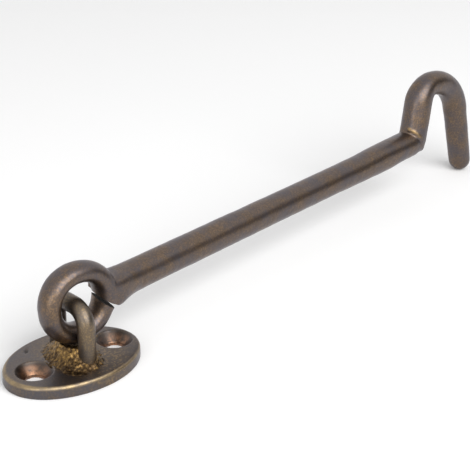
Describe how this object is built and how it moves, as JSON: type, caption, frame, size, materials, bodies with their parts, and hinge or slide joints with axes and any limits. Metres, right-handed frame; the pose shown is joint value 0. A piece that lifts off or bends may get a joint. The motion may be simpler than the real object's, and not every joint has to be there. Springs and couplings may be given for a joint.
{
  "type": "cabin hook",
  "caption": "Window hook: a round rod with a hooked end, linked by its eye through a staple that stands on an oval plate with countersunk screw holes.",
  "frame": {"origin": "on the underside of the plate, straight below the staple and the middle of the eye's width", "axes": "+X along the plate toward the hook, +Y along the staple, +Z away from the surface that the plate is screwed to"},
  "size_m": [0.1839, 0.0361, 0.0361],
  "materials": {
    "plate_brass": "aged, satin",
    "wire_brass": "aged, rubbed",
    "brazing_brass": "rough, as brazed",
    "rod_brass": "aged, satin"
  },
  "bodies": {
    "base": {"plate": "plate_brass", "staple": "wire_brass", "brazing": "brazing_brass"},
    "arm": {"hook_arm": "rod_brass"}
  },
  "joints": [
    {"name": "arm_hinge", "type": "hinge", "parent": "base", "child": "arm", "pos_m": [0.0018, 0, 0.0164], "axis": [0, -1, 0], "range_deg": [-25, 180]}
  ]
}
